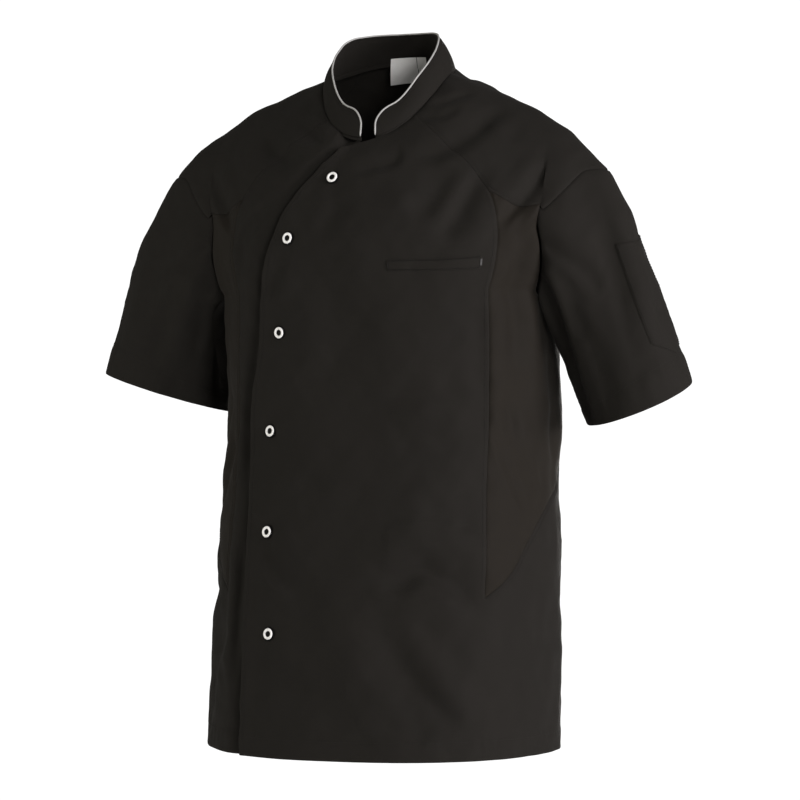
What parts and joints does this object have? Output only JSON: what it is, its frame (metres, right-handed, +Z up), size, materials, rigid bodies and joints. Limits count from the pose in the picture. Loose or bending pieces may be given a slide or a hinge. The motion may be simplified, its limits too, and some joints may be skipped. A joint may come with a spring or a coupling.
{
  "type": "chef jacket",
  "caption": "Short-sleeved chef's jacket in worn form, curved snap front, stand collar with light piping, yoke over the shoulders and stretch inserts under the arms.",
  "frame": {"origin": "midway between the two side neck points, where the wearer's shoulders carry the jacket", "axes": "+Z up, the wearer faces -Y, +X is the wearer's left"},
  "size_m": [0.6846, 0.305, 0.7865],
  "materials": {
    "twill": "matt near-black fine twill",
    "stretch_insert": "soft dark brown-black stretch knit",
    "piping": "light grey satin piping",
    "snap": "light ring with a dark middle",
    "label": "plain woven label, blank"
  },
  "bodies": {
    "root": {"front_left": "twill", "front_right": "twill", "back": "twill", "collar": "twill", "yoke_left": "twill", "yoke_right": "twill", "sleeve_left": "twill", "sleeve_right": "twill", "chest_pocket_welt": "twill", "sleeve_pocket": "twill", "side_insert_left": "stretch_insert", "side_insert_right": "stretch_insert", "collar_piping": "piping", "snap_1": "snap", "snap_2": "snap", "snap_3": "snap", "snap_4": "snap", "snap_5": "snap", "snap_6": "snap", "neck_label": "label", "size_tab": "label"}
  },
  "joints": []
}
